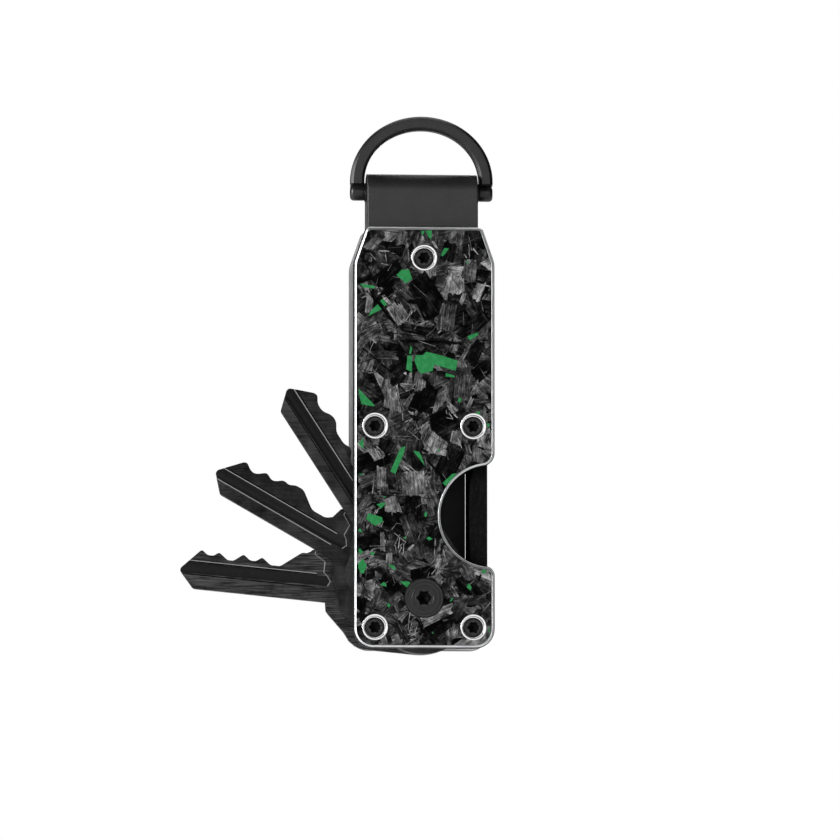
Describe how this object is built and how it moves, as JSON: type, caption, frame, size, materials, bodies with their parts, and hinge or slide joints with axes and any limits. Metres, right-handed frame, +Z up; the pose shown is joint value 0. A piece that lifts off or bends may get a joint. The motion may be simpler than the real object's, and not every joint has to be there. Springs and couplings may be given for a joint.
{
  "type": "key organiser",
  "caption": "Slim key organiser: two inlaid plates round a fan of turning keys, with a thumb notch, a leather strap and a D-ring.",
  "frame": {"origin": "inner top of the D-ring's bow, on the middle plane, where the ring hangs on a hook", "axes": "+X across the case towards the thumb notch, +Y towards the back plate, +Z up along the case towards the ring"},
  "size_m": [0.0636, 0.0144, 0.11],
  "materials": {
    "bare_aluminium": "fine brushed, bare",
    "forged_carbon": "chopped carbon in clear resin with flat green flakes, semi-gloss",
    "polished_cup": "bright polished steel",
    "black_screw": "black oxide steel, satin",
    "steel": "turned steel",
    "insert_brass": "turned brass",
    "liner": "matt black moulded",
    "bush": "matt black nylon",
    "band": "woven elastic, matt black",
    "leather": "smooth black leather with a fine grain",
    "ring_black": "satin black coated zinc",
    "black_key": "satin black coated brass"
  },
  "bodies": {
    "ring": {"d_ring": "ring_black", "ring_pin": "ring_black", "ring_bushes": "bush"},
    "case": {"strap": "leather", "strap_spacer": "liner", "top_post": "steel", "front_plate": "bare_aluminium", "front_inlay": "forged_carbon", "front_cups": "polished_cup", "front_screws": "black_screw", "front_inserts": "insert_brass", "front_liner": "liner", "back_plate": "bare_aluminium", "back_inlay": "forged_carbon", "back_cups": "polished_cup", "back_screws": "black_screw", "back_inserts": "insert_brass", "back_liner": "liner", "pivot_bolt": "black_screw", "pivot_barrel": "black_screw", "pivot_washers": "bush", "side_band": "band"},
    "upper": {"upper_key": "black_key"},
    "middle": {"middle_key": "black_key"},
    "lower": {"lower_key": "black_key"}
  },
  "joints": [
    {"name": "ring_swing", "type": "hinge", "parent": "ring", "child": "case", "pos_m": [0, 0, -0.01275], "axis": [1, 0, 0], "range_deg": [-115, 115]},
    {"name": "upper_turn", "type": "hinge", "parent": "case", "child": "upper", "pos_m": [0, 0, -0.09595], "axis": [0, -1, 0], "range_deg": [-32.9, 147.1]},
    {"name": "middle_turn", "type": "hinge", "parent": "case", "child": "middle", "pos_m": [0, 0, -0.09595], "axis": [0, -1, 0], "range_deg": [-60.2, 119.8]},
    {"name": "lower_turn", "type": "hinge", "parent": "case", "child": "lower", "pos_m": [0, 0, -0.09595], "axis": [0, -1, 0], "range_deg": [-84.3, 95.7]}
  ]
}
